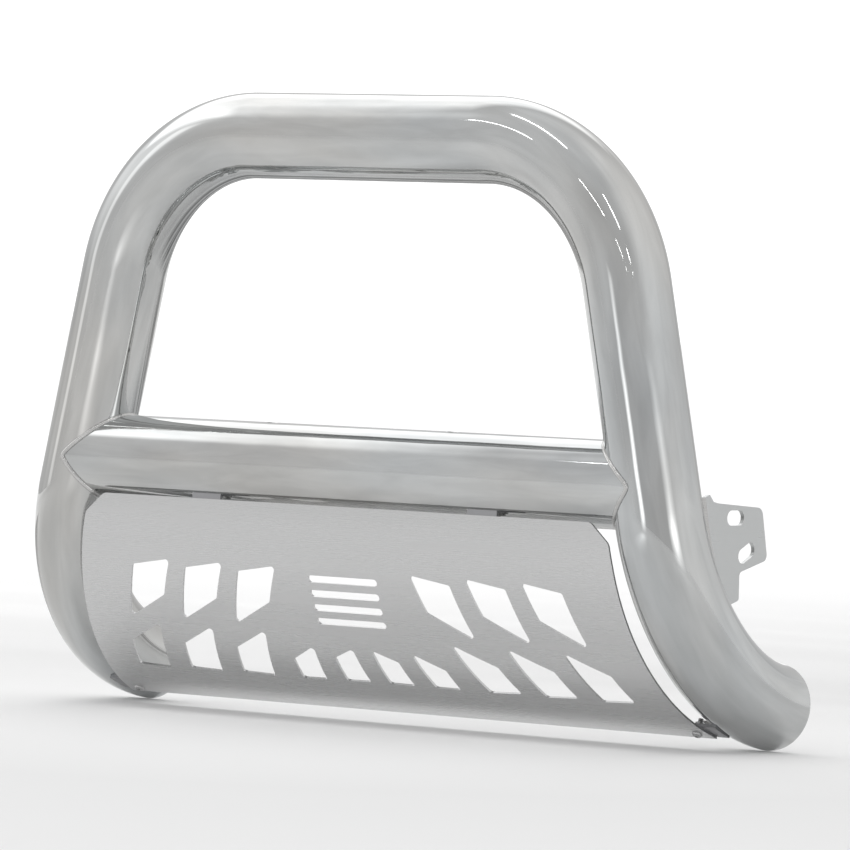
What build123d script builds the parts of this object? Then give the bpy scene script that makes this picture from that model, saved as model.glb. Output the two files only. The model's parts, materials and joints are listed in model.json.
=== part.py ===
from build123d import *
import os
from math import cos, radians, sin, sqrt, tan

# Front grille guard (bull bar) for a pickup truck: a three-inch polished stainless hoop whose legs sweep
# back under the bumper, a crossbar welded between the legs, a rolled and perforated skid plate bolted
# below the crossbar, and a slotted mounting bracket welded behind each leg.
#
# Millimetres. +X is to the right seen from in front of the truck, +Y runs back towards the truck and +Z is
# up. The origin lies midway between the upper slots of the two mounting brackets.

# Hoop: one bent tube, symmetric about X = 0, with straight splayed legs
tube_radius = 38.1  # three-inch tube
tube_wall = 2.0
hoop_y = -73.0  # plane of the legs and the top, in front of the bracket slots
crossbar_z = 25.0
top_rise = 290.5  # crossbar axis up to the axis of the top
leg_half_spacing = 313.3  # leg axis from the middle, at the crossbar
splay = radians(12.15)
top_bend_radius = 152.4
lower_bend_radius = 165.0
lower_corner_drop = 164.4  # crossbar axis down to where the leg and tail axes would meet
tail_length = 145.0  # from that corner to the cut end
tail_fall = radians(9.4)
tail_toe_in = radians(1.7)
end_cap_thickness = 2.5
end_cap_chamfer = 0.6

# Crossbar: ground a little smaller than the hoop, so that its coped ends keep a blunt tip
crossbar_radius = 38.0
light_hole_radius = 6.5
light_hole_x = 100.0
light_hole_chamfer = 0.5

# Weld beads
saddle_bead_radius = 3.0
bead_height = 3.0  # how far a fillet bead climbs each face it joins

# Mounting brackets: flat plates in the YZ plane, welded behind the outer half of each leg
bracket_outer_x = 346.8
bracket_thickness = 3.5
slot_length = 25.0
slot_width = 13.0
lower_slot_centre = (18.0, -30.0)
lower_slot_tilt = 25.0  # degrees, rising towards the back

# Skid plate: sheet rolled about a line parallel to X
plate_radius = 179.5  # to the outer face
plate_thickness = 2.0
plate_axis_y = hoop_y + 149.6
plate_axis_z = crossbar_z - 46.1
plate_top_angle = -0.080  # radians below the axis height, on the front face
plate_bottom_angle = 1.23
plate_half_width = 288.2  # at axis height
plate_flare = 29.5  # half-width gained per radian further down
plate_side_steps = 5  # spans of the curve down each flared side
plate_corner_cut = 17.5
plate_corner_round = 9.0
cutout_corner_radius = 3.0
cutout_pitch = 60.0
vent_length = 76.0
vent_width = 6.5
vent_pitch = 13.5
vent_count = 4
vent_first_arc = 51.0  # arc length down the plate from axis height

# Tabs that carry the plate, rolled to sit flat on its back
tab_thickness = 3.0
upper_tab_x = 152.0
upper_tab_width = 32.0
upper_tab_angles = (-0.118, 0.125)
upper_tab_weld_angles = (-0.218, 0.03)
lower_tab_angles = (1.10, 1.235)
lower_tab_inner_x = 297.0
lower_tab_outer_x = 336.0
tab_bead_length = 18.0

# Fasteners: welded M6 studs with flange nuts above, M5 button-head bolts with washers and nuts below
stud_radius = 3.0
stud_length = 15.0
stud_angle = 0.056
stud_chamfer = 0.6
stud_clearance = 0.3
flange_nut_flats = 10.0
flange_nut_height = 6.0
flange_radius = 7.0
flange_thickness = 1.2
bolt_radius = 2.5
bolt_length = 14.0
bolt_head_radius = 4.75
bolt_head_height = 2.75
bolt_head_taper = 28.0  # degrees
bolt_socket_flats = 3.0
bolt_socket_depth = 1.6
bolt_x = 310.0
bolt_angle = 1.175
bolt_clearance = 0.25
washer_radius = 5.0
washer_thickness = 1.0
nut_flats = 8.0
nut_height = 4.0

# Cutting tools run this far past what they cut
overrun = 20.0

SIDES = (("left", -1), ("right", 1))


def leg_point(drop, side=1):
    """Point on a leg's straight axis, this far below the crossbar's axis."""
    return Vector(side * (leg_half_spacing + drop * tan(splay)), hoop_y, crossbar_z - drop)


def leg_direction(side):
    """Unit vector down a leg."""
    return Vector(side * sin(splay), 0, -cos(splay))


def tail_direction(side):
    """Unit vector back along a tail."""
    level = cos(tail_fall)
    return Vector(-side * sin(tail_toe_in) * level, cos(tail_toe_in) * level, -sin(tail_fall))


def tail_end(side):
    """Middle of a tail's cut end."""
    return leg_point(lower_corner_drop, side) + tail_direction(side) * tail_length


def plate_section(angle, depth):
    """Point of the rolled sheet's cross-section, as (y, z), this deep behind its outer face."""
    reach = plate_radius - depth
    return (plate_axis_y - reach * cos(angle), plate_axis_z - reach * sin(angle))


def plate_plane(angle, x=0, depth=0.0):
    """Plane tangent to the rolled sheet: local X along +X, local Y up the sheet, local Z out of it."""
    y, z = plate_section(angle, depth)
    return Plane(origin=(x, y, z), x_dir=(1, 0, 0), z_dir=(0, -cos(angle), -sin(angle)))


def seat_depth(depth, radius):
    """Depth at which a flat round face of this radius bears with its rim on a rolled sheet's back."""
    reach = plate_radius - depth
    return plate_radius - sqrt(reach**2 - radius**2)


def plate_width_at(angle):
    """Half-width of the skid plate, which flares downwards."""
    return plate_half_width + plate_flare * angle


def rolled_strip(angles, depths, x_from, x_to):
    """Solid strip concentric with the skid plate, between two angles, two depths and two X positions."""
    start, end = angles
    middle = (start + end) / 2
    outer, inner = depths
    with BuildPart() as strip:
        with BuildSketch(Plane.YZ.offset(x_from)):
            with BuildLine():
                ThreePointArc(*(plate_section(a, outer) for a in (start, middle, end)))
                Line(plate_section(end, outer), plate_section(end, inner))
                ThreePointArc(*(plate_section(a, inner) for a in (end, middle, start)))
                Line(plate_section(start, inner), plate_section(start, outer))
            make_face()
        extrude(amount=x_to - x_from)
    return strip.part


def hoop_start():
    """Plane of the hoop's first cut end, turned so that the swept seam runs along the tube's outer side."""
    return Plane(origin=hoop_path @ 0, x_dir=(-1, 0, 0), z_dir=hoop_path % 0)


def hoop_solid(radius):
    """The hoop's outside as a solid bar of the given radius, for coping what is welded to it."""
    with BuildPart() as bar:
        with BuildSketch(hoop_start()):
            Circle(radius)
        sweep(path=hoop_path)
    return bar.part


def crossbar_solid(radius):
    """The crossbar's outside as a solid bar of the given radius."""
    with BuildPart() as bar:
        with BuildSketch(Plane.YZ.offset(-leg_half_spacing)):
            with Locations((hoop_y, crossbar_z)):
                Circle(radius)
        extrude(amount=2 * leg_half_spacing)
    return bar.part


def save(name, part):
    """Label one sub-part and write its STEP file."""
    part.label = name
    export_step(part, f"parts/{name}.step")


os.makedirs("parts", exist_ok=True)

# ---------------------------------------------------------------- hoop
with BuildLine() as hoop_axis:
    FilletPolyline(
        tail_end(-1),
        leg_point(lower_corner_drop, -1),
        leg_point(-top_rise, -1),
        leg_point(-top_rise),
        leg_point(lower_corner_drop),
        tail_end(1),
        radius=[lower_bend_radius, top_bend_radius, top_bend_radius, lower_bend_radius],
    )
hoop_path = hoop_axis.wire()

with BuildPart() as hoop_tube:
    with BuildSketch(hoop_start()):
        Circle(tube_radius)
        Circle(tube_radius - tube_wall, mode=Mode.SUBTRACT)
    sweep(path=hoop_path)
save("hoop_tube", hoop_tube.part)

hoop_bar = hoop_solid(tube_radius)
hoop_bar_with_bead = hoop_solid(tube_radius + bead_height)
crossbar_bar = crossbar_solid(crossbar_radius)
crossbar_bar_with_bead = crossbar_solid(crossbar_radius + bead_height)

for side_name, side in SIDES:
    end_plane = Plane(origin=tail_end(side), z_dir=tail_direction(side))
    with BuildPart() as tail_cap:
        with BuildSketch(end_plane):
            Circle(tube_radius - tube_wall)
        extrude(amount=-end_cap_thickness)
        chamfer(tail_cap.faces().sort_by(Axis.Y)[-1].edges(), end_cap_chamfer)
    save(f"tail_cap_{side_name}", tail_cap.part)

# ---------------------------------------------------------------- crossbar
with BuildPart() as crossbar_tube:
    with BuildSketch(Plane.YZ.offset(-leg_half_spacing)):
        with Locations((hoop_y, crossbar_z)):
            Circle(crossbar_radius)
            Circle(crossbar_radius - tube_wall, mode=Mode.SUBTRACT)
    extrude(amount=2 * leg_half_spacing)
    add(hoop_bar, mode=Mode.SUBTRACT)
    with BuildSketch(Plane.XY.offset(crossbar_z)):
        with Locations((-light_hole_x, hoop_y), (light_hole_x, hoop_y)):
            Circle(light_hole_radius)
    extrude(amount=2 * crossbar_radius, mode=Mode.SUBTRACT)
    hole_rims = crossbar_tube.edges(Select.LAST).group_by(Axis.Z)[-1]
    chamfer(hole_rims, light_hole_chamfer)
save("crossbar_tube", crossbar_tube.part)

# The seam between two crossing tubes of one radius is two half ellipses, each in the plane that halves the
# angle between the tubes. One climbs the leg and the other runs down it.
for side_name, side in SIDES:
    crossing = leg_point(0, side)
    inward = Vector(-side, 0, 0)
    with BuildPart() as crossbar_weld:
        for along_leg in (leg_direction(side), leg_direction(side) * -1):
            half_angle = radians(inward.get_angle(along_leg)) / 2
            seam_plane = Plane(
                origin=crossing,
                x_dir=(inward + along_leg).normalized(),
                z_dir=(inward + along_leg).cross(Vector(0, 1, 0)).normalized(),
            )
            with BuildLine(seam_plane) as seam:
                EllipticalCenterArc(
                    center=(0, 0),
                    x_radius=tube_radius / sin(half_angle),
                    y_radius=tube_radius,
                    start_angle=-90,
                    arc_size=180,
                )
            with BuildSketch(Plane(origin=seam.line @ 0, z_dir=seam.line % 0)):
                Circle(saddle_bead_radius)
            sweep(path=seam.line)
        with Locations(crossing + Vector(0, -tube_radius, 0), crossing + Vector(0, tube_radius, 0)):
            Sphere(saddle_bead_radius)
        add(hoop_bar, mode=Mode.SUBTRACT)
        add(crossbar_bar, mode=Mode.SUBTRACT)
    save(f"crossbar_weld_{side_name}", crossbar_weld.part)

# ---------------------------------------------------------------- mounting brackets
# Bracket corners as (Y, Z, radius of the round)
bracket_corners = [
    (-63.0, 16.5, 0),
    (-46.0, 18.0, 0),
    (-39.5, 20.0, 0),
    (-33.5, 14.0, 0),
    (-27.0, 12.7, 0),
    (39.6, 8.4, 8.0),
    (49.9, -36.2, 6.0),
    (8.6, -46.5, 4.0),
    (9.0, -70.2, 3.0),
    (-23.0, -79.4, 0),
]


def bracket_blank(x_from, x_to):
    """The bracket's outline with its corners rounded, as a slab between two X positions."""
    with BuildPart() as blank:
        with BuildSketch(Plane.YZ.offset(x_from)) as outline:
            with BuildLine():
                Polyline(*[(y, z) for y, z, _ in bracket_corners], close=True)
            make_face()
            for y, z, radius in bracket_corners:
                if radius:
                    fillet(outline.vertices().sort_by_distance((y, z))[0], radius)
        extrude(amount=x_to - x_from)
    return blank.part


for side_name, side in SIDES:
    outer_x = side * bracket_outer_x
    inner_x = side * (bracket_outer_x - bracket_thickness)
    with BuildPart() as mount_bracket:
        add(bracket_blank(inner_x, outer_x))
        with BuildSketch(Plane.YZ.offset(inner_x)):
            SlotOverall(slot_length, slot_width)
            with Locations(Location(lower_slot_centre + (0,), lower_slot_tilt)):
                SlotOverall(slot_length, slot_width)
        extrude(amount=outer_x - inner_x, mode=Mode.SUBTRACT)
        add(hoop_bar, mode=Mode.SUBTRACT)
    save(f"mount_bracket_{side_name}", mount_bracket.part)

    with BuildPart() as bracket_weld:
        add(bracket_blank(inner_x - side * bead_height, outer_x + side * bead_height))
        add(hoop_bar_with_bead, mode=Mode.INTERSECT)
        add(hoop_bar, mode=Mode.SUBTRACT)
        add(bracket_blank(inner_x, outer_x), mode=Mode.SUBTRACT)
    save(f"bracket_weld_{side_name}", bracket_weld.part)

# ---------------------------------------------------------------- skid plate
# Cutout corners for the right half, as (X, arc length down the sheet from axis height)
upper_cutout = [(73.7, 41.5), (117.2, 48.5), (133.5, 101.0), (87.0, 76.0)]
lower_cutout = [(102.0, 105.5), (145.0, 128.5), (154.5, 161.5), (119.5, 163.5)]
small_cutout = [(53.8, 119.5), (84.5, 137.5), (87.5, 163.3), (60.5, 163.0)]
centre_cutout = [(10.3, 119.5), (35.3, 131.7), (37.7, 162.5), (10.7, 162.0)]
cutouts = [[(x + i * cutout_pitch, arc) for x, arc in upper_cutout] for i in range(3)]
cutouts += [[(x + i * cutout_pitch, arc) for x, arc in lower_cutout] for i in range(3)]
cutouts += [small_cutout, centre_cutout]

# Outline of the plate seen from the front, half of it: top edge, clipped corner, flared side
plate_top_z = plate_section(plate_top_angle, 0)[1]
corner_top = (plate_width_at(plate_top_angle) - plate_corner_cut, plate_top_z)
corner_side = (plate_width_at(0), plate_top_z - plate_corner_cut)
side_angles = [plate_bottom_angle * (i + 0.5) / (plate_side_steps + 0.5) for i in range(plate_side_steps + 1)]
side_points = [(plate_width_at(a), plate_section(a, 0)[1]) for a in side_angles]
side_low = side_points[-1]
low_z = side_low[1] - overrun

with BuildPart() as skid_plate:
    widest = plate_width_at(plate_bottom_angle) + overrun
    add(rolled_strip((plate_top_angle, plate_bottom_angle), (0, plate_thickness), -widest, widest))
    with BuildSketch(Plane.XZ.offset(-plate_axis_y)) as front_outline:
        with BuildLine():
            Line((0, plate_top_z), corner_top)
            Line(corner_top, corner_side)
            Line(corner_side, side_points[0])
            Spline(*side_points)
            Line(side_low, (side_low[0], low_z))
            Line((side_low[0], low_z), (0, low_z))
            Line((0, low_z), (0, plate_top_z))
        make_face()
        for corner_point in (corner_top, corner_side):
            fillet(front_outline.vertices().sort_by_distance(corner_point)[0], plate_corner_round)
        mirror(about=Plane.YZ)
    extrude(amount=2 * plate_radius, mode=Mode.INTERSECT)

    for outline in cutouts:
        middle_arc = sum(arc for _, arc in outline) / len(outline)
        middle_x = sum(x for x, _ in outline) / len(outline)
        for _, side in SIDES:
            with BuildSketch(plate_plane(middle_arc / plate_radius, side * middle_x)) as cut:
                corners = [
                    (side * (x - middle_x), plate_radius * sin((middle_arc - arc) / plate_radius))
                    for x, arc in outline
                ]
                with BuildLine():
                    Polyline(*corners, close=True)
                make_face()
                fillet(cut.vertices(), cutout_corner_radius)
            extrude(amount=overrun, both=True, mode=Mode.SUBTRACT)

    for i in range(vent_count):
        with BuildSketch(plate_plane((vent_first_arc + i * vent_pitch) / plate_radius)):
            SlotOverall(vent_length, vent_width)
        extrude(amount=overrun, both=True, mode=Mode.SUBTRACT)

    for _, side in SIDES:
        with BuildSketch(plate_plane(bolt_angle, side * bolt_x)):
            Circle(bolt_radius + bolt_clearance)
        extrude(amount=overrun, both=True, mode=Mode.SUBTRACT)
save("skid_plate", skid_plate.part)

# ---------------------------------------------------------------- tabs behind the plate
tab_depths = (plate_thickness, plate_thickness + tab_thickness)
bead_depths = (tab_depths[1], tab_depths[1] + bead_height)

for side_name, side in SIDES:
    tab_from = side * upper_tab_x - upper_tab_width / 2
    tab_to = side * upper_tab_x + upper_tab_width / 2
    with BuildPart() as upper_tab:
        add(rolled_strip(upper_tab_angles, tab_depths, tab_from, tab_to))
        add(crossbar_bar, mode=Mode.SUBTRACT)
        with BuildSketch(plate_plane(stud_angle, side * upper_tab_x)):
            Circle(stud_radius + stud_clearance)
        extrude(amount=overrun, both=True, mode=Mode.SUBTRACT)
    save(f"upper_tab_{side_name}", upper_tab.part)

    with BuildPart() as upper_tab_weld:
        add(rolled_strip(upper_tab_weld_angles, bead_depths, tab_from, tab_to))
        add(crossbar_bar_with_bead, mode=Mode.INTERSECT)
        add(crossbar_bar, mode=Mode.SUBTRACT)
    save(f"upper_tab_weld_{side_name}", upper_tab_weld.part)

for side_name, side in SIDES:
    inner_x = side * lower_tab_inner_x
    outer_x = side * lower_tab_outer_x
    bead_x = side * (lower_tab_outer_x - tab_bead_length)
    with BuildPart() as lower_tab:
        add(rolled_strip(lower_tab_angles, tab_depths, inner_x, outer_x))
        add(hoop_bar, mode=Mode.SUBTRACT)
        with BuildSketch(plate_plane(bolt_angle, side * bolt_x)):
            Circle(bolt_radius + bolt_clearance)
        extrude(amount=overrun, both=True, mode=Mode.SUBTRACT)
    save(f"lower_tab_{side_name}", lower_tab.part)

    with BuildPart() as lower_tab_weld:
        add(rolled_strip(lower_tab_angles, bead_depths, bead_x, outer_x))
        add(hoop_bar_with_bead, mode=Mode.INTERSECT)
        add(hoop_bar, mode=Mode.SUBTRACT)
    save(f"lower_tab_weld_{side_name}", lower_tab_weld.part)

# ---------------------------------------------------------------- fasteners
stud_seat = seat_depth(plate_thickness, stud_radius)
flange_seat = seat_depth(tab_depths[1], flange_radius)
washer_seat = seat_depth(tab_depths[1], washer_radius)

with BuildPart() as upper_studs:
    for _, side in SIDES:
        with BuildSketch(plate_plane(stud_angle, side * upper_tab_x, stud_seat)):
            Circle(stud_radius)
        extrude(amount=-stud_length)
    chamfer(upper_studs.faces().filter_by(GeomType.PLANE).group_by(Axis.Y)[-1].edges(), stud_chamfer)
save("upper_studs", upper_studs.part)

with BuildPart() as upper_nuts:
    for _, side in SIDES:
        nut_plane = plate_plane(stud_angle, side * upper_tab_x, flange_seat)
        with BuildSketch(nut_plane):
            Circle(flange_radius)
        extrude(amount=-flange_thickness)
        with BuildSketch(nut_plane):
            RegularPolygon(flange_nut_flats / 2, 6, major_radius=False)
        extrude(amount=-flange_nut_height)
        with BuildSketch(nut_plane):
            Circle(stud_radius)
        extrude(amount=-flange_nut_height, mode=Mode.SUBTRACT)
save("upper_nuts", upper_nuts.part)

with BuildPart() as lower_bolts:
    for _, side in SIDES:
        head_plane = plate_plane(bolt_angle, side * bolt_x)
        with BuildSketch(head_plane):
            Circle(bolt_radius)
        extrude(amount=-bolt_length)
        with BuildSketch(head_plane):
            Circle(bolt_head_radius)
        extrude(amount=bolt_head_height, taper=bolt_head_taper)
        with BuildSketch(head_plane.offset(bolt_head_height)):
            RegularPolygon(bolt_socket_flats / 2, 6, major_radius=False)
        extrude(amount=-bolt_socket_depth, mode=Mode.SUBTRACT)
save("lower_bolts", lower_bolts.part)

with BuildPart() as lower_washers:
    for _, side in SIDES:
        with BuildSketch(plate_plane(bolt_angle, side * bolt_x, washer_seat)):
            Circle(washer_radius)
            Circle(bolt_radius + bolt_clearance, mode=Mode.SUBTRACT)
        extrude(amount=-washer_thickness)
save("lower_washers", lower_washers.part)

with BuildPart() as lower_nuts:
    for _, side in SIDES:
        with BuildSketch(plate_plane(bolt_angle, side * bolt_x, washer_seat + washer_thickness)):
            RegularPolygon(nut_flats / 2, 6, major_radius=False)
            Circle(bolt_radius, mode=Mode.SUBTRACT)
        extrude(amount=-nut_height)
save("lower_nuts", lower_nuts.part)
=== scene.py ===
import json
from math import ceil, cos, inf, pi, radians, sin, sqrt, tan

import bpy
from mathutils import Matrix, Quaternion, Vector

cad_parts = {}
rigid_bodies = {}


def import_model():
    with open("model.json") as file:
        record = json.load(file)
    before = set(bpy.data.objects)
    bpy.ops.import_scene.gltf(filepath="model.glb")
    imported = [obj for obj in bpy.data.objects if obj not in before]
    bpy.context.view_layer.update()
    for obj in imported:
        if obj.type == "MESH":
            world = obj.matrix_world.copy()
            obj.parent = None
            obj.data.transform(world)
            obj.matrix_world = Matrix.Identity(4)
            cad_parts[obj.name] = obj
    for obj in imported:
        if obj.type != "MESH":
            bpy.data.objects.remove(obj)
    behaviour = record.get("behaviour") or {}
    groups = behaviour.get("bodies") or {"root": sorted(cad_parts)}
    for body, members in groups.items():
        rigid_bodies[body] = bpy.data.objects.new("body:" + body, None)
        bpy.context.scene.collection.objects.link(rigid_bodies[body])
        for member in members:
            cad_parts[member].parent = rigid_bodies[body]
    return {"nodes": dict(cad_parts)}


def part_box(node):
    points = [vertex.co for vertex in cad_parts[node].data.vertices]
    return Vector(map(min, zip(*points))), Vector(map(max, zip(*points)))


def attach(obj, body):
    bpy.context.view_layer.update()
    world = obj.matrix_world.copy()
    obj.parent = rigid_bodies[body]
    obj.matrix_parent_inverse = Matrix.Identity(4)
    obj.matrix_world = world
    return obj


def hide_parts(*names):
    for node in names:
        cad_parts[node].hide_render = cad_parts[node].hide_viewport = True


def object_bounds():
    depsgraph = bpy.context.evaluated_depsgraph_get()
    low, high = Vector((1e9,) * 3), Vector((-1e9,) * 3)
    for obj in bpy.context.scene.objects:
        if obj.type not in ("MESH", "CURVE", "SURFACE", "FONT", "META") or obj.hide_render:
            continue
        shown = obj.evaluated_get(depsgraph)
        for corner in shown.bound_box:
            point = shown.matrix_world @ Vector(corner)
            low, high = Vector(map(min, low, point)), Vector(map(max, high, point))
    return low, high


for stray in list(bpy.data.objects):
    bpy.data.objects.remove(stray)

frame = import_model()
cad_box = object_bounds()
nodes = frame["nodes"]

MM = 0.001
SIDES = (("left", -1), ("right", 1))

# ---------------------------------------------------------------- places, from the frame
hoop_low, hoop_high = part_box("hoop_tube")
bar_low, bar_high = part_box("crossbar_tube")
plate_low, plate_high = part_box("skid_plate")
bar_radius = (bar_high.z - bar_low.z) / 2
bar_y = (bar_low.y + bar_high.y) / 2
bar_z = (bar_low.z + bar_high.z) / 2
tube_radius = bar_y - hoop_low.y
top_z = hoop_high.z - tube_radius

# Hoop's driving sizes, as the tube was bent
leg_half_spacing = 313.3 * MM  # leg axis from the middle, at the crossbar
splay = radians(12.15)
top_bend_radius = 152.4 * MM
lower_bend_radius = 165.0 * MM
lower_corner_drop = 164.4 * MM  # crossbar axis down to where the leg and tail axes would meet
tail_length = 145.0 * MM
tail_fall = radians(9.4)
tail_toe_in = radians(1.7)
tube_wall = 2.0 * MM

# Skid plate: rolled about a line parallel to X
plate_radius = 179.5 * MM
plate_axis_y = bar_y + 149.6 * MM
plate_axis_z = bar_z - 46.1 * MM
plate_thickness = 2.0 * MM
tab_back = 5.0 * MM  # back of the tabs, behind the plate's outer face
stud_angle = 0.056
stud_x = 152.0 * MM
bolt_angle = 1.175
bolt_x = 310.0 * MM


def leg_point(drop, side):
    """Point on a leg's straight axis, this far below the crossbar's axis."""
    return Vector((side * (leg_half_spacing + drop * tan(splay)), bar_y, bar_z - drop))


def tail_end(side):
    """Middle of a tail's cut end."""
    level = cos(tail_fall)
    along = Vector((-side * sin(tail_toe_in) * level, cos(tail_toe_in) * level, -sin(tail_fall)))
    return leg_point(lower_corner_drop, side) + along * tail_length


# ---------------------------------------------------------------- mesh helpers
def mesh_object(name, vertices, faces, smooth=True):
    """A new object from vertices and faces, linked into the scene."""
    mesh = bpy.data.meshes.new(name)
    mesh.from_pydata(vertices, [], faces)
    mesh.validate()
    mesh.polygons.foreach_set("use_smooth", [smooth] * len(mesh.polygons))
    mesh.update()
    piece = bpy.data.objects.new(name, mesh)
    bpy.context.scene.collection.objects.link(piece)
    return piece


def loft(rings, closed):
    """Faces that join rings of equally many vertices, the last ring back to the first if closed."""
    sides = len(rings[0])
    faces = []
    for i in range(len(rings) if closed else len(rings) - 1):
        this, following = i * sides, (i + 1) % len(rings) * sides
        for j in range(sides):
            k = (j + 1) % sides
            faces.append((this + j, this + k, following + k, following + j))
    return [v for ring in rings for v in ring], faces


def bent_axis(corners, radii, step):
    """(point, direction, distance) along straight runs joined by tangent arcs, no more than a step apart."""
    turns = []
    for before, corner, after, radius in zip(corners, corners[1:], corners[2:], radii):
        entering, leaving = (corner - before).normalized(), (after - corner).normalized()
        angle = entering.angle(leaving)
        turns.append((corner - entering * radius * tan(angle / 2), entering, leaving, angle, radius))
    stations = []
    here, distance = corners[0], 0.0
    for start, entering, leaving, angle, radius in turns + [(corners[-1], None, None, 0, 0)]:
        run = start - here
        count = ceil(run.length / step)
        for i in range(count + (entering is None)):
            stations.append((here + run * i / count, run.normalized(), distance + run.length * i / count))
        distance += run.length
        if entering is None:
            break
        axis = entering.cross(leaving).normalized()
        centre = start + axis.cross(entering) * radius
        count = ceil(angle * radius / step)
        for i in range(count):
            share = i / count
            turn = Quaternion(axis, angle * share)
            point = centre + turn @ (start - centre)
            stations.append((point, turn @ entering, distance + angle * radius * share))
        here = centre + Quaternion(axis, angle) @ (start - centre)
        distance += angle * radius
    return stations


def store_straight(piece, coordinates):
    """Keep each vertex's place on the tube as if it were unbent, so that patterns follow the bends."""
    attribute = piece.data.attributes.new("straight", "FLOAT_VECTOR", "POINT")
    attribute.data.foreach_set("vector", [value for place in coordinates for value in place])


def claim(piece, slot, *replaced):
    """Ride the body and stand for CAD nodes. The slot is not used."""
    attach(piece, "root")
    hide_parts(*replaced)


# ---------------------------------------------------------------- node helpers
def new_material(name):
    """An empty node material with its Principled shader already wired out."""
    material = bpy.data.materials.new(name)
    material.use_nodes = True
    tree = material.node_tree
    tree.nodes.clear()
    output = tree.nodes.new("ShaderNodeOutputMaterial")
    shader = tree.nodes.new("ShaderNodeBsdfPrincipled")
    tree.links.new(shader.outputs["BSDF"], output.inputs["Surface"])
    return material, tree, shader


def stretched(tree, scale, attribute=None):
    """Object coordinates in metres, or a stored vector, times a scale for each axis."""
    if attribute:
        source = tree.nodes.new("ShaderNodeAttribute")
        source.attribute_name = attribute
        vector = source.outputs["Vector"]
    else:
        vector = tree.nodes.new("ShaderNodeTexCoord").outputs["Object"]
    mapping = tree.nodes.new("ShaderNodeMapping")
    mapping.inputs["Scale"].default_value = scale
    tree.links.new(vector, mapping.inputs["Vector"])
    return mapping.outputs["Vector"]


def components(tree, vector):
    """X, Y and Z of a vector socket."""
    node = tree.nodes.new("ShaderNodeSeparateXYZ")
    tree.links.new(vector, node.inputs["Vector"])
    return node.outputs["X"], node.outputs["Y"], node.outputs["Z"]


def noise(tree, vector, detail=3, roughness=0.5, distortion=0.0):
    """Noise at the vector's own scale."""
    node = tree.nodes.new("ShaderNodeTexNoise")
    node.inputs["Scale"].default_value = 1
    node.inputs["Detail"].default_value = detail
    node.inputs["Roughness"].default_value = roughness
    node.inputs["Distortion"].default_value = distortion
    tree.links.new(vector, node.inputs["Vector"])
    return node.outputs["Fac"]


def spread(tree, value, low, high, from_low=0.35, from_high=0.65):
    """Maps a noise value to a range."""
    node = tree.nodes.new("ShaderNodeMapRange")
    node.inputs["From Min"].default_value = from_low
    node.inputs["From Max"].default_value = from_high
    node.inputs["To Min"].default_value = low
    node.inputs["To Max"].default_value = high
    tree.links.new(value, node.inputs["Value"])
    return node.outputs["Result"]


def calculate(tree, operation, a, b=None, c=None):
    """One math node; a, b and c are sockets or numbers."""
    node = tree.nodes.new("ShaderNodeMath")
    node.operation = operation
    for socket, value in zip(node.inputs, (a, b, c)):
        if value is None:
            continue
        if isinstance(value, (int, float)):
            socket.default_value = value
        else:
            tree.links.new(value, socket)
    return node.outputs["Value"]


def bump(tree, height, distance, normal=None):
    """A bump of this depth in metres, on top of another."""
    node = tree.nodes.new("ShaderNodeBump")
    node.inputs["Distance"].default_value = distance
    tree.links.new(height, node.inputs["Height"])
    if normal is not None:
        tree.links.new(normal, node.inputs["Normal"])
    return node.outputs["Normal"]


def tint(tree, value, dark, light):
    """Colour between two, by a value from 0 to 1."""
    ramp = tree.nodes.new("ShaderNodeValToRGB")
    ramp.color_ramp.elements[0].color = (*dark, 1)
    ramp.color_ramp.elements[1].color = (*light, 1)
    tree.links.new(value, ramp.inputs["Fac"])
    return ramp.outputs["Color"]


def multiplied(tree, a, b):
    """Product of two colours."""
    node = tree.nodes.new("ShaderNodeMix")
    node.data_type = "RGBA"
    node.blend_type = "MULTIPLY"
    node.inputs["Factor"].default_value = 1
    tree.links.new(a, node.inputs["A"])
    tree.links.new(b, node.inputs["B"])
    return node.outputs["Result"]


# ---------------------------------------------------------------- materials
def polished_steel(name, along, attribute=None):
    """Mirror-polished tube: faint polishing lines along it, haze in patches and a slight waviness."""

    def scale(across, lengthwise):
        """Scale of each axis, with the tube running along the given one."""
        return tuple(lengthwise if axis == along else across for axis in "XYZ")

    wave_depth, line_depth = 0.45 * MM, 0.004 * MM
    material, tree, shader = new_material(name)
    shader.inputs["Metallic"].default_value = 1.0
    haze = noise(tree, stretched(tree, scale(22, 7), attribute), detail=4)
    cast = noise(tree, stretched(tree, scale(13, 4), attribute), detail=2)
    smears = noise(tree, stretched(tree, scale(70, 11), attribute), detail=3, distortion=0.6)
    lines = noise(tree, stretched(tree, scale(900, 9), attribute), detail=3)
    waves = noise(tree, stretched(tree, scale(26, 9), attribute), detail=2)
    warm_and_cool = tint(tree, spread(tree, cast, 0, 1), (0.585, 0.58, 0.565), (0.56, 0.575, 0.58))
    hazy = tint(tree, spread(tree, haze, 0, 1), (0.84, 0.84, 0.84), (1, 1, 1))
    smeared = tint(tree, spread(tree, smears, 0, 1), (0.92, 0.92, 0.92), (1.04, 1.04, 1.04))
    colour = multiplied(tree, warm_and_cool, multiplied(tree, hazy, smeared))
    tree.links.new(colour, shader.inputs["Base Color"])
    rough = calculate(tree, "ADD", spread(tree, haze, 0.025, 0.06), spread(tree, lines, -0.01, 0.02))
    tree.links.new(rough, shader.inputs["Roughness"])
    normal = bump(tree, lines, line_depth, bump(tree, waves, wave_depth))
    tree.links.new(normal, shader.inputs["Normal"])
    return material


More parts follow.
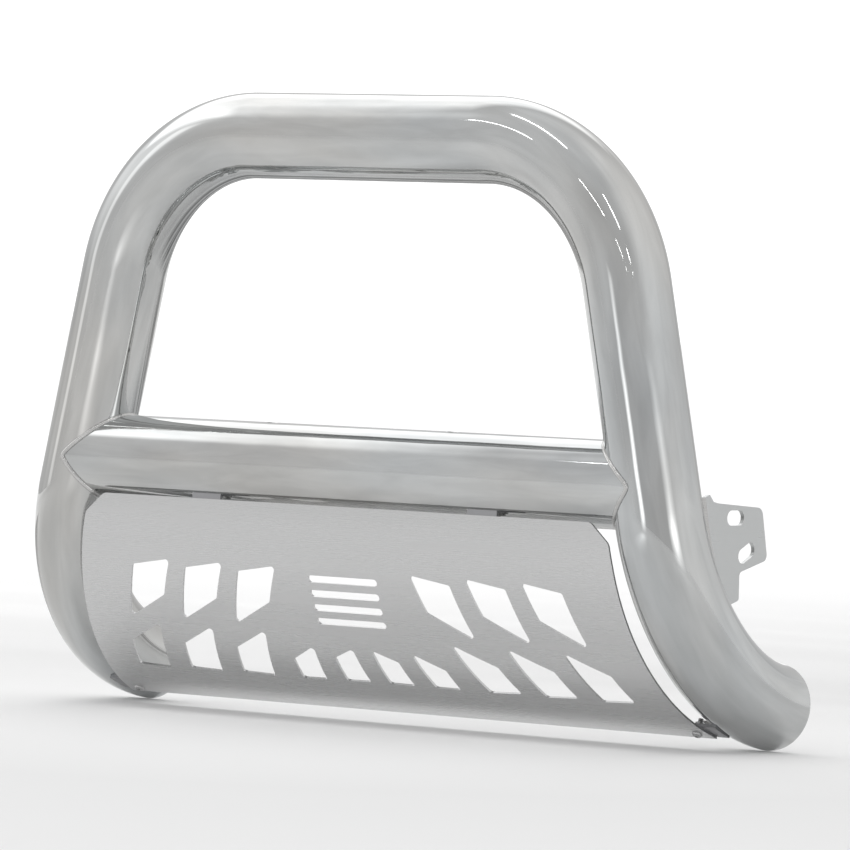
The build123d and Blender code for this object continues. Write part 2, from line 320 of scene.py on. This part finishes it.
def brushed_steel(name, grain_scale, rough_low, rough_high, dark, light):
    """Brushed sheet, its grain drawn out along the axis with the small scale."""
    grain_depth = 0.01 * MM
    material, tree, shader = new_material(name)
    shader.inputs["Metallic"].default_value = 1.0
    grain = noise(tree, stretched(tree, grain_scale), detail=4, roughness=0.6)
    cloud = noise(tree, stretched(tree, (5, 14, 14)), detail=3)
    shade = calculate(tree, "MULTIPLY_ADD", grain, 0.6, 0.5)
    tree.links.new(tint(tree, shade, dark, light), shader.inputs["Base Color"])
    clouding = spread(tree, cloud, -0.03, 0.03)
    rough = calculate(tree, "ADD", spread(tree, grain, rough_low, rough_high), clouding)
    tree.links.new(rough, shader.inputs["Roughness"])
    tree.links.new(bump(tree, grain, grain_depth), shader.inputs["Normal"])
    return material


def weld_steel(name, across, height):
    """Weld bead: fine ripples of this height across one axis, and a warm tint in patches."""
    material, tree, shader = new_material(name)
    shader.inputs["Metallic"].default_value = 1.0
    patches = noise(tree, stretched(tree, (160, 160, 160)), detail=3)
    colour = tint(tree, patches, (0.48, 0.475, 0.465), (0.62, 0.62, 0.615))
    tree.links.new(colour, shader.inputs["Base Color"])
    tree.links.new(spread(tree, patches, 0.12, 0.24), shader.inputs["Roughness"])
    wave = tree.nodes.new("ShaderNodeTexWave")
    wave.bands_direction = across
    wave.wave_profile = "SAW"
    wave.inputs["Scale"].default_value = 1
    wave.inputs["Distortion"].default_value = 1.5
    wave.inputs["Detail"].default_value = 1
    tree.links.new(stretched(tree, (140, 140, 140)), wave.inputs["Vector"])
    tree.links.new(bump(tree, wave.outputs["Fac"], height), shader.inputs["Normal"])
    return material


polished_bent = polished_steel("polished_bent", "Z", "straight")
polished_bar = polished_steel("polished_bar", "X")
satin_cap = brushed_steel("satin_cap", (9, 900, 900), 0.17, 0.25, (0.53, 0.53, 0.53), (0.60, 0.60, 0.60))
brushed_plate = brushed_steel(
    "brushed_plate", (6, 1100, 1100), 0.25, 0.33, (0.55, 0.555, 0.56), (0.615, 0.615, 0.615)
)
bracket_steel = brushed_steel(
    "bracket_steel", (700, 25, 700), 0.28, 0.42, (0.44, 0.45, 0.45), (0.56, 0.57, 0.57)
)
# Tabs: darker than the other steel, painted shade for the dim gap between the plate and the crossbar
tab_steel_painted_shade = brushed_steel("tab_steel_painted_shade", (40, 500, 500), 0.30, 0.45, (0.25, 0.25, 0.26), (0.37, 0.37, 0.38))
fastener_steel = brushed_steel(
    "fastener_steel", (700, 700, 700), 0.22, 0.34, (0.38, 0.38, 0.38), (0.52, 0.52, 0.52)
)
weld_upright = weld_steel("weld_upright", "Z", 0.3 * MM)
weld_level = weld_steel("weld_level", "X", 0.3 * MM)
weld_seam = weld_steel("weld_seam", "Y", 0.05 * MM)

FINISHES = {
    "crossbar_tube": polished_bar,
    "tail_cap": satin_cap,
    "skid_plate": brushed_plate,
    "mount_bracket": bracket_steel,
    "bracket_weld": weld_upright,
    "upper_tab_weld": weld_level,
    "lower_tab_weld": weld_level,
    "upper_tab": tab_steel_painted_shade,
    "lower_tab": tab_steel_painted_shade,
}
for name, node in nodes.items():
    for prefix, material in FINISHES.items():
        if name.startswith(prefix):
            node.data.materials[0] = material
            break


# ---------------------------------------------------------------- hoop
def build_hoop():
    """The bent tube: one clean sweep with rounded ends and its inner wall showing at the caps."""
    corners = [
        tail_end(-1),
        leg_point(lower_corner_drop, -1),
        leg_point(bar_z - top_z, -1),
        leg_point(bar_z - top_z, 1),
        leg_point(lower_corner_drop, 1),
        tail_end(1),
    ]
    radii = [lower_bend_radius, top_bend_radius, top_bend_radius, lower_bend_radius]
    step, sides, edge = 3.5 * MM, 96, 0.4 * MM
    stations = bent_axis(corners, radii, step)
    cap_depth = 2.5 * MM + edge
    inner = tube_radius - tube_wall
    first, last = stations[0], stations[-1]

    def inside(station, depth):
        """A station moved into the tube from its end."""
        return (station[0] + station[1] * depth, station[1], station[2] + depth)

    sections = [(inside(first, cap_depth), inner), (inside(first, edge), inner), (first, inner + edge)]
    sections += [(first, tube_radius - edge), (inside(first, edge / 3), tube_radius - edge / 3)]
    sections += [(inside(first, edge), tube_radius)]
    sections += [(station, tube_radius) for station in stations[1:-1]]
    sections += [(inside(last, -edge), tube_radius), (inside(last, -edge / 3), tube_radius - edge / 3)]
    sections += [(last, tube_radius - edge), (last, inner + edge), (inside(last, -edge), inner)]
    sections += [(inside(last, -cap_depth), inner)]

    rings, straight = [], []
    direction = sections[0][0][1]
    across = Vector((1, 0, 0))
    across = (across - direction * across.dot(direction)).normalized()
    for (point, heading, distance), radius in sections:
        across = direction.rotation_difference(heading) @ across
        direction = heading
        other = heading.cross(across)
        ring = []
        for j in range(sides):
            angle = 2 * pi * j / sides
            ring.append(point + across * radius * cos(angle) + other * radius * sin(angle))
            straight.append((radius * cos(angle), radius * sin(angle), distance))
        rings.append(ring)
    hoop = mesh_object("hoop_bent_tube", *loft(rings, closed=False))
    store_straight(hoop, straight)
    hoop.data.materials.append(polished_bent)
    claim(hoop, "polished_tube", "hoop_tube")


build_hoop()


# ---------------------------------------------------------------- crossbar welds
def saddle_point(angle, side):
    """Point of the seam between the crossbar and a leg, at an angle round the crossbar."""
    y, z = bar_radius * cos(angle), bar_radius * sin(angle)
    reach = sqrt(tube_radius**2 - y**2)
    x = leg_half_spacing - (reach + z * sin(splay)) / cos(splay)
    return Vector((side * x, bar_y + y, bar_z + z))


def build_crossbar_weld(name, side):
    """Rippled bead round the crossbar's coped end: a small puddle every couple of millimetres."""
    bead_radius, ripple_pitch, ripple_height = 2.1 * MM, 2.3 * MM, 0.16 * MM
    ripple_lean, ripple_middle = 0.45, 0.6  # of a ripple's length, and of its height
    coarse, reach, rings_per_ripple, sides = 1440, 8, 7, 14
    points = [saddle_point(2 * pi * i / coarse, side) for i in range(coarse + 1)]
    lengths = [0.0]
    for a, b in zip(points, points[1:]):
        lengths.append(lengths[-1] + (b - a).length)
    ripples = round(lengths[-1] / ripple_pitch)
    count = ripples * rings_per_ripple
    rings, k = [], 0
    for i in range(count):
        wanted = lengths[-1] * i / count
        while lengths[k + 1] < wanted:
            k += 1
        blend = (wanted - lengths[k]) / (lengths[k + 1] - lengths[k])
        middle = points[k].lerp(points[k + 1], blend)
        along = (points[(k + 1 + reach) % coarse] - points[k - reach]).normalized()
        outward = Vector((0, middle.y - bar_y, middle.z - bar_z)).normalized()
        outward = (outward - along * outward.dot(along)).normalized()
        sideways = along.cross(outward)
        ring = []
        for j in range(sides):
            angle = 2 * pi * j / sides
            puddle = (i / rings_per_ripple + ripple_lean * cos(angle)) % 1.0
            radius = bead_radius + ripple_height * (puddle**0.5 - ripple_middle)
            ring.append(middle + outward * radius * cos(angle) + sideways * radius * sin(angle))
        rings.append(ring)
    weld = mesh_object(f"crossbar_bead_{name}", *loft(rings, closed=True))
    weld.data.materials.append(weld_seam)
    claim(weld, "weld_bead", f"crossbar_weld_{name}")


for side_name, side in SIDES:
    build_crossbar_weld(side_name, side)


# ---------------------------------------------------------------- fasteners
def round_ring(radius):
    """Radius of a round section, at any angle."""
    return lambda angle: radius


def hexagon_ring(flats, limit=inf):
    """Radius of a hexagon across these flats, its corners cut down to a limit."""
    return lambda angle: min(flats / 2 / cos(angle % (pi / 3) - pi / 6), limit)


def thread_sections(radius, pitch, start, length, chamfer):
    """Sections of a screw thread that runs from a depth to a chamfered tip."""
    rings_per_pitch, thread_depth = 8, 0.6 * pitch
    count = round(length / pitch * rings_per_pitch)
    sections = []
    for i in range(count + 1):
        along = length * i / count
        limit = radius - max(0, chamfer - (length - along))

        def groove(angle, along=along, limit=limit):
            """Radius on the thread's flank."""
            phase = (along / pitch - angle / (2 * pi)) % 1.0
            return min(limit, radius - thread_depth * (1 - abs(2 * phase - 1)))

        sections.append((start + along, groove))
    return sections


def nut_sections(flats, start, height, bore, flange_radius=0.0, flange_height=0.0):
    """Sections of a chamfered hexagon nut, on a flange if it has one, then back along its bore."""
    steps, edge = 5, 0.3 * MM
    face_radius, slope = 0.475 * flats, tan(radians(60))
    chamfer = (flats / 2 / cos(pi / 6) - face_radius) / slope
    countersink = 0.35 * MM
    sections = []
    if flange_radius:
        sections += [(start, round_ring(flange_radius - edge)), (start + edge, round_ring(flange_radius))]
        sections += [(start + flange_height - edge, round_ring(flange_radius))]
        sections += [(start + flange_height, round_ring(flange_radius - edge))]
        sections += [(start + flange_height + edge, hexagon_ring(flats))]
    else:
        for i in range(steps + 1):
            cut = chamfer * i / steps
            sections.append((start + cut, hexagon_ring(flats, face_radius + cut * slope)))
    for i in range(steps, -1, -1):
        cut = chamfer * i / steps
        sections.append((start + height - cut, hexagon_ring(flats, face_radius + cut * slope)))
    sections += [(start + height, round_ring(bore + countersink))]
    sections += [(start + height - countersink, round_ring(bore)), (start, round_ring(bore))]
    return sections


def washer_sections(start, thickness, outer, bore):
    """Sections of a washer with rounded edges, then back along its bore."""
    edge = 0.2 * MM
    sections = [(start, outer - edge), (start + edge, outer), (start + thickness - edge, outer)]
    sections += [(start + thickness, outer - edge), (start + thickness, bore), (start, bore)]
    return [(depth, round_ring(radius)) for depth, radius in sections]


def head_sections(radius, height, socket_flats, socket_depth):
    """Sections of a domed button head in front of the plate, from its socket's bottom out to its rim."""
    steps, crown = 8, 0.45 * radius
    bevel = 0.15 * MM
    sections = [(socket_depth - height, hexagon_ring(socket_flats))]
    sections += [(bevel - height, hexagon_ring(socket_flats))]
    sections += [(-height, hexagon_ring(socket_flats + 2 * bevel))]
    for i in range(steps + 1):
        turn = pi / 2 * i / steps
        sections.append((-height * cos(turn), round_ring(crown + (radius - crown) * sin(turn))))
    return sections


def turned_rings(angle, x, sections, sides=72):
    """Rings of sections stacked inwards from the plate's outer face, about its normal at one place."""
    inward = Vector((0, cos(angle), sin(angle)))
    face = Vector((x, plate_axis_y, plate_axis_z)) - inward * plate_radius
    across = Vector((1, 0, 0))
    other = inward.cross(across)
    rings = []
    for depth, section in sections:
        ring = []
        for j in range(sides):
            turn = 2 * pi * j / sides
            outward = across * cos(turn) + other * sin(turn)
            ring.append(face + inward * depth + outward * section(turn))
        rings.append(ring)
    return rings


def build_fasteners(name, replaced, angle, half_spacing, sections, closed):
    """A pair of fasteners, left and right, as one piece that stands for a CAD node."""
    vertices, faces = [], []
    for _, side in SIDES:
        rings = turned_rings(angle, side * half_spacing, sections)
        points, skin = loft(rings, closed)
        if not closed:
            sides, last = len(rings[0]), len(points) - len(rings[0])
            skin += [tuple(reversed(range(sides))), tuple(range(last, last + sides))]
        faces += [tuple(len(vertices) + index for index in face) for face in skin]
        vertices += points
    piece = mesh_object(name, vertices, faces)
    crease_angle = radians(35)
    piece.data.set_sharp_from_angle(angle=crease_angle)
    piece.data.materials.append(fastener_steel)
    claim(piece, "fastener", replaced)


def seat_depth(depth, radius):
    """Depth at which a flat round face of this radius bears with its rim on the rolled sheet's back."""
    return plate_radius - sqrt((plate_radius - depth) ** 2 - radius**2)


# M6 studs and their flange nuts
stud_radius = 3.0 * MM
stud_pitch = 1.0 * MM
stud_length = 15.0 * MM
stud_chamfer = 0.6 * MM
flange_nut_flats = 10.0 * MM
flange_nut_height = 6.0 * MM
flange_radius = 7.0 * MM
flange_thickness = 1.2 * MM
stud_seat = seat_depth(plate_thickness, stud_radius)
flange_seat = seat_depth(tab_back, flange_radius)

# M5 button-head bolts, their washers and nuts
bolt_radius = 2.5 * MM
bolt_pitch = 0.8 * MM
bolt_length = 14.0 * MM
bolt_chamfer = 0.5 * MM
head_radius = 4.75 * MM
head_height = 2.75 * MM
socket_flats = 3.0 * MM
socket_depth = 1.6 * MM
washer_radius = 5.0 * MM
washer_thickness = 1.0 * MM
washer_bore = bolt_radius + 0.25 * MM
nut_flats = 8.0 * MM
nut_height = 4.0 * MM
washer_seat = seat_depth(tab_back, washer_radius)
nut_seat = washer_seat + washer_thickness

studs = thread_sections(stud_radius, stud_pitch, stud_seat, stud_length, stud_chamfer)
flange_nuts = nut_sections(
    flange_nut_flats, flange_seat, flange_nut_height, stud_radius, flange_radius, flange_thickness
)
bolts = head_sections(head_radius, head_height, socket_flats, socket_depth)
bolts += thread_sections(bolt_radius, bolt_pitch, 0, bolt_length, bolt_chamfer)
washers = washer_sections(washer_seat, washer_thickness, washer_radius, washer_bore)
hexagon_nuts = nut_sections(nut_flats, nut_seat, nut_height, bolt_radius)

build_fasteners("threaded_studs", "upper_studs", stud_angle, stud_x, studs, closed=False)
build_fasteners("flange_nuts", "upper_nuts", stud_angle, stud_x, flange_nuts, closed=True)
build_fasteners("button_head_bolts", "lower_bolts", bolt_angle, bolt_x, bolts, closed=False)
build_fasteners("plain_washers", "lower_washers", bolt_angle, bolt_x, washers, closed=True)
build_fasteners("hexagon_nuts", "lower_nuts", bolt_angle, bolt_x, hexagon_nuts, closed=True)


# ---------------------------------------------------------------- studio
camera_azimuth = radians(37.284)
camera_elevation = radians(1.158)
camera_roll = radians(2.045)
camera_distance = 5.784
camera_lens = 282.5
camera_shift = (0.0048, -0.0024)
camera_aim = Vector((0.06256, bar_y, bar_z + 0.044))
floor_z = cad_box[0].z


def build_floor():
    """Plain pale floor that whitens away behind the guard, as a lit backdrop does, with a painted pool of
    light round the guard.
    """
    half = 40.0
    corners = [(-half, -half), (half, -half), (half, half), (-half, half)]
    floor = mesh_object("floor", [(x, y, floor_z) for x, y in corners], [(0, 1, 2, 3)], smooth=False)
    material, tree, shader = new_material("floor")
    shader.inputs["Roughness"].default_value = 0.8
    shader.inputs["Specular IOR Level"].default_value = 0.2
    shader.inputs["Base Color"].default_value = (0.80, 0.80, 0.80, 1)
    shader.inputs["Emission Color"].default_value = (1, 1, 1, 1)
    place = tree.nodes.new("ShaderNodeTexCoord").outputs["Object"]
    x, y, _ = components(tree, place)
    away = calculate(
        tree,
        "ADD",
        calculate(tree, "MULTIPLY", x, -sin(camera_azimuth)),
        calculate(tree, "MULTIPLY", y, cos(camera_azimuth)),
    )
    length = tree.nodes.new("ShaderNodeVectorMath")
    length.operation = "LENGTH"
    tree.links.new(place, length.inputs[0])
    distance = length.outputs["Value"]
    # Painted light: the floor glows round the guard, which lifts its contact shadow and lightens the plate's
    # lower edge in reflection
    painted_light_near = spread(tree, distance, 0.10, 0.0, 0.30, 0.8)
    glow_far = spread(tree, distance, 0.0, 0.10, 1.0, 4.0)
    backdrop = spread(tree, away, 0.0, 0.25, 1.5, 8.0)
    total = calculate(tree, "ADD", calculate(tree, "ADD", painted_light_near, glow_far), backdrop)
    tree.links.new(total, shader.inputs["Emission Strength"])
    floor.data.materials.append(material)


def within(tree, value, middle, half, soft):
    """1 inside a span about the middle, falling smoothly to 0 over the soft edge."""
    off = calculate(tree, "ABSOLUTE", calculate(tree, "SUBTRACT", value, middle))
    node = tree.nodes.new("ShaderNodeMapRange")
    node.interpolation_type = "SMOOTHSTEP"
    node.inputs["From Min"].default_value = half - soft / 2
    node.inputs["From Max"].default_value = half + soft / 2
    node.inputs["To Min"].default_value = 1
    node.inputs["To Max"].default_value = 0
    tree.links.new(off, node.inputs["Value"])
    return node.outputs["Result"]


def build_world():
    """An even pale room with brighter and dimmer panels, given by azimuth and elevation in degrees."""
    world = bpy.data.worlds.new("studio")
    world.use_nodes = True
    bpy.context.scene.world = world
    tree = world.node_tree
    x, y, z = components(tree, tree.nodes.new("ShaderNodeTexCoord").outputs["Generated"])
    to_degrees = 180 / pi
    heading = calculate(tree, "ARCTAN2", x, calculate(tree, "MULTIPLY", y, -1))
    azimuth = calculate(tree, "MULTIPLY", heading, to_degrees)
    elevation = calculate(tree, "MULTIPLY", calculate(tree, "ARCSINE", z), to_degrees)

    # (azimuth, half width, elevation, half height, soft edge, brightness): azimuth 0 is in front of the
    # guard and 90 is to its right, seen from the front
    panels = [
        (-143, 6, 0, 6, 3, 0.62),  # white backdrop, no wider than the camera sees
        (-150, 62, 2, 18, 16, -0.14),  # dim wall round it, which keeps the silhouettes grey
        (-137, 32, 34, 9, 12, 0.28),  # bright wall above it
        (-80, 24, 28, 18, 16, 0.48),  # bright wall on the left
        (-62, 5, 14, 14, 5, 0.50),  # narrow panel low on the left
        (120, 45, 15, 60, 40, 0.14),  # slightly brighter wall on the right
        (30, 42, 15, 25, 30, -0.12),  # slightly dimmer room behind the camera
    ]
    light, overhead = 0.80, 0.15
    for az, half_az, el, half_el, soft, brightness in panels:
        wide = within(tree, azimuth, az, half_az, soft)
        patch = calculate(tree, "MULTIPLY", wide, within(tree, elevation, el, half_el, soft))
        light = calculate(tree, "ADD", calculate(tree, "MULTIPLY", patch, brightness), light)
    top = within(tree, elevation, 90, 25, 16)
    light = calculate(tree, "ADD", calculate(tree, "MULTIPLY", top, overhead), light)
    tree.links.new(light, tree.nodes["Background"].inputs["Strength"])
    tree.nodes["Background"].inputs["Color"].default_value = (1, 1, 1, 1)


def soften_edges(data, soft):
    """Fades a flat lamp's brightness towards its edges, over this share of its half width."""
    data.use_nodes = True
    tree = data.node_tree
    across, lengthwise, _ = components(tree, tree.nodes.new("ShaderNodeNewGeometry").outputs["Parametric"])
    fades = []
    for share in (across, lengthwise):
        off = calculate(tree, "ABSOLUTE", calculate(tree, "MULTIPLY_ADD", share, 2, -1))
        fades.append(spread(tree, off, 1, 0, 1 - soft, 1))
    tree.links.new(calculate(tree, "MULTIPLY", *fades), tree.nodes["Emission"].inputs["Strength"])


def area_light(name, middle, towards, width, length, lengthwise, radiance, soft=0.0):
    """A flat lamp of a given radiance, its long side along lengthwise, hidden from the camera itself."""
    data = bpy.data.lights.new(name, "AREA")
    data.shape = "RECTANGLE"
    data.size, data.size_y = width, length
    data.energy = radiance * pi * width * length
    if soft:
        soften_edges(data, soft)
    lamp = bpy.data.objects.new(name, data)
    bpy.context.scene.collection.objects.link(lamp)
    back = -Vector(towards).normalized()
    up = Vector(lengthwise).normalized()
    turn = Matrix((up.cross(back), up, back)).transposed()
    lamp.matrix_world = Matrix.Translation(middle) @ turn.to_4x4()
    lamp.visible_camera = False


def build_lamps():
    """A ceiling softbox, two rows of ceiling tubes, two strips on the floor and the front strip's spill."""
    ceiling, up, down = 2.3, (0, 0, 1), (0, 0, -1)
    row = Vector((0.85, -0.52, 0)).normalized()
    beside = Vector((0.52, 0.85, 0)).normalized()
    area_light("softbox", (-2.43, 1.0, ceiling), down, 3.4, 5.3, beside, 0.82, soft=0.25)
    for name, x, y, width, height, radiance in (
        ("front_strip", -0.07, -2.85, 0.65, 0.80, 1.9),
        ("right_strip", 2.30, -0.98, 0.95, 1.05, 1.9),
    ):
        middle = (x, y, floor_z + height / 2)
        area_light(name, middle, (-x, -y, 0), width, height, up, radiance, soft=0.9)
    spill = (-0.07, -1.75, floor_z + 2 * MM)
    area_light("front_spill", spill, up, 0.60, 2.2, (0, 1, 0), 0.60, soft=0.9)
    tube_width, tube_pitch, tube_lengths, tube_radiance = 0.04, 2.25, (1.1, 1.2, 1.3, 0.3), 12.0
    for start_x, start_y in ((-1.75, -1.75), (-0.65, -0.45)):
        for i, length in enumerate(tube_lengths):
            middle = Vector((start_x, start_y, ceiling)) + row * (length / 2 + i * tube_pitch)
            area_light(f"ceiling_tube_{i}", middle, down, tube_width, length, row, tube_radiance)


def build_flag():
    """Streaky grey mat behind the guard: seen only in reflections, where it darkens the undersides."""
    near, far, left, right, fade = 0.05, 3.0, -3.0, 0.45, 0.45
    height = floor_z + 1 * MM
    corners = [(left, near, height), (right, near, height), (right, far, height), (left, far, height)]
    flag = mesh_object("grey_mat", corners, [(0, 1, 2, 3)], smooth=False)
    material, tree, shader = new_material("grey_mat")
    streaks = noise(tree, stretched(tree, (0.3, 6, 1)), detail=3)
    streaks = spread(tree, streaks, 0, 1, 0.42, 0.58)
    tree.links.new(tint(tree, streaks, (0.20, 0.20, 0.20), (0.64, 0.64, 0.64)), shader.inputs["Base Color"])
    shader.inputs["Roughness"].default_value = 1
    x, y, _ = components(tree, tree.nodes.new("ShaderNodeTexCoord").outputs["Object"])
    cover = spread(tree, x, 0, 1, left, left + fade)
    for place, start, end in ((x, right, right - fade), (y, near, near + fade), (y, far, far - fade)):
        cover = calculate(tree, "MULTIPLY", cover, spread(tree, place, 0, 1, start, end))
    tree.links.new(cover, shader.inputs["Alpha"])
    flag.data.materials.append(material)
    flag.visible_camera = False
    flag.visible_diffuse = False
    flag.visible_shadow = False


def build_camera():
    """A long lens about a degree above the guard's middle, turned to its right side."""
    data = bpy.data.cameras.new("camera")
    data.sensor_width = 36
    data.lens = camera_lens
    data.clip_end = 100
    data.shift_x, data.shift_y = camera_shift
    camera = bpy.data.objects.new("camera", data)
    bpy.context.scene.collection.objects.link(camera)
    level = cos(camera_elevation)
    back = Vector((sin(camera_azimuth) * level, -cos(camera_azimuth) * level, sin(camera_elevation)))
    right = Vector((cos(camera_azimuth), sin(camera_azimuth), 0))
    up = back.cross(right)
    rolled_right = right * cos(camera_roll) + up * sin(camera_roll)
    rolled_up = up * cos(camera_roll) - right * sin(camera_roll)
    turn = Matrix((rolled_right, rolled_up, back)).transposed()
    camera.matrix_world = Matrix.Translation(camera_aim + back * camera_distance) @ turn.to_4x4()
    bpy.context.scene.camera = camera


build_camera()
build_floor()
build_world()
build_lamps()
build_flag()
bpy.context.scene.view_settings.view_transform = "Standard"
